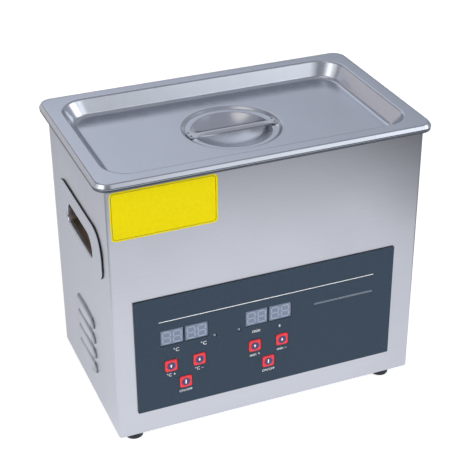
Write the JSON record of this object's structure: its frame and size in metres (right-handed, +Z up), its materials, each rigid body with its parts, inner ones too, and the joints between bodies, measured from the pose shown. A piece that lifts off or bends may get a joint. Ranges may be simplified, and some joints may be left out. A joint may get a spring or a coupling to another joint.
{
  "type": "ultrasonic cleaner",
  "caption": "Benchtop heated ultrasonic cleaner: steel tank in a louvred sheet housing, lift-off lid with a strap handle, keypad and displays on the front.",
  "frame": {"origin": "on the floor under the middle of the housing", "axes": "+X to the right along the longest side as the user faces the panel, +Y to the rear, +Z up"},
  "size_m": [0.265, 0.1622, 0.2342],
  "materials": {
    "brushed_steel": "satin, brushed along its length",
    "drawn_steel": "smooth, bright drawn sheet",
    "plated_steel": "zinc plated",
    "aluminium": "machined or extruded",
    "black_rubber": "matt moulded",
    "silicone": "soft, cut sheet",
    "panel_film": "satin printed film",
    "display_face": "smooth face with unlit segments",
    "red_key": "satin moulded",
    "clear_lens": "clear moulded",
    "board_green": "solder mask",
    "switch_black": "moulded",
    "piezo_ceramic": "fired, with silvered faces",
    "heater_silicone": "moulded silicone",
    "ferrite": "sintered",
    "coil_tape": "wrapped tape",
    "ribbon_grey": "flat cable jacket",
    "fuse_glass": "clear tube"
  },
  "bodies": {
    "chassis": {"back_mass_left": "plated_steel", "back_mass_right": "plated_steel", "base_plate": "brushed_steel", "control_panel": "panel_film", "display_actual": "display_face", "display_board": "board_green", "display_minutes": "display_face", "display_seconds": "display_face", "display_set": "display_face", "filter_capacitor": "switch_black", "foot_front_left": "black_rubber", "foot_front_right": "black_rubber", "foot_rear_left": "black_rubber", "foot_rear_right": "black_rubber", "front_mass_left": "aluminium", "front_mass_right": "aluminium", "generator_board": "board_green", "handle_left": "drawn_steel", "handle_right": "drawn_steel", "heat_sink": "aluminium", "heater_pad_front": "heater_silicone", "heater_pad_rear": "heater_silicone", "heater_relay": "switch_black", "housing": "brushed_steel", "lamp_heat": "clear_lens", "lamp_timer": "clear_lens", "mains_inlet": "switch_black", "piezo_ring_left_lower": "piezo_ceramic", "piezo_ring_left_upper": "piezo_ceramic", "piezo_ring_right_lower": "piezo_ceramic", "piezo_ring_right_upper": "piezo_ceramic", "power_transistor_left": "switch_black", "power_transistor_right": "switch_black", "ribbon_cable": "ribbon_grey", "stack_bolt_left": "plated_steel", "stack_bolt_right": "plated_steel", "switch_heat_down": "switch_black", "switch_heat_power": "switch_black", "switch_heat_up": "switch_black", "switch_timer_down": "switch_black", "switch_timer_power": "switch_black", "switch_timer_up": "switch_black", "tank": "drawn_steel", "tank_gasket": "silicone", "temperature_sensor": "plated_steel", "thermal_cutout": "switch_black", "transformer_coil": "coil_tape", "transformer_core": "ferrite"},
    "lid": {"lid": "drawn_steel", "lid_handle": "drawn_steel"},
    "fuse_drawer": {"fuse_drawer": "switch_black", "fuse": "fuse_glass"},
    "key_heat_down": {"key_heat_down": "red_key"},
    "key_heat_power": {"key_heat_power": "red_key"},
    "key_heat_up": {"key_heat_up": "red_key"},
    "key_timer_down": {"key_timer_down": "red_key"},
    "key_timer_power": {"key_timer_power": "red_key"},
    "key_timer_up": {"key_timer_up": "red_key"}
  },
  "joints": [
    {"name": "lid_lift", "type": "slide", "parent": "chassis", "child": "lid", "axis": [0, 0, 1], "range_m": [0, 0.1]},
    {"name": "fuse_drawer_slide", "type": "slide", "parent": "chassis", "child": "fuse_drawer", "axis": [0, 1, 0], "range_m": [0, 0.018]},
    {"name": "key_heat_down_press", "type": "slide", "parent": "chassis", "child": "key_heat_down", "axis": [0, 1, 0], "range_m": [0, 0.0004], "stiffness_N_per_m": 2000, "springref_m": -0.0004},
    {"name": "key_heat_power_press", "type": "slide", "parent": "chassis", "child": "key_heat_power", "axis": [0, 1, 0], "range_m": [0, 0.0004], "stiffness_N_per_m": 2000, "springref_m": -0.0004},
    {"name": "key_heat_up_press", "type": "slide", "parent": "chassis", "child": "key_heat_up", "axis": [0, 1, 0], "range_m": [0, 0.0004], "stiffness_N_per_m": 2000, "springref_m": -0.0004},
    {"name": "key_timer_down_press", "type": "slide", "parent": "chassis", "child": "key_timer_down", "axis": [0, 1, 0], "range_m": [0, 0.0004], "stiffness_N_per_m": 2000, "springref_m": -0.0004},
    {"name": "key_timer_power_press", "type": "slide", "parent": "chassis", "child": "key_timer_power", "axis": [0, 1, 0], "range_m": [0, 0.0004], "stiffness_N_per_m": 2000, "springref_m": -0.0004},
    {"name": "key_timer_up_press", "type": "slide", "parent": "chassis", "child": "key_timer_up", "axis": [0, 1, 0], "range_m": [0, 0.0004], "stiffness_N_per_m": 2000, "springref_m": -0.0004}
  ]
}
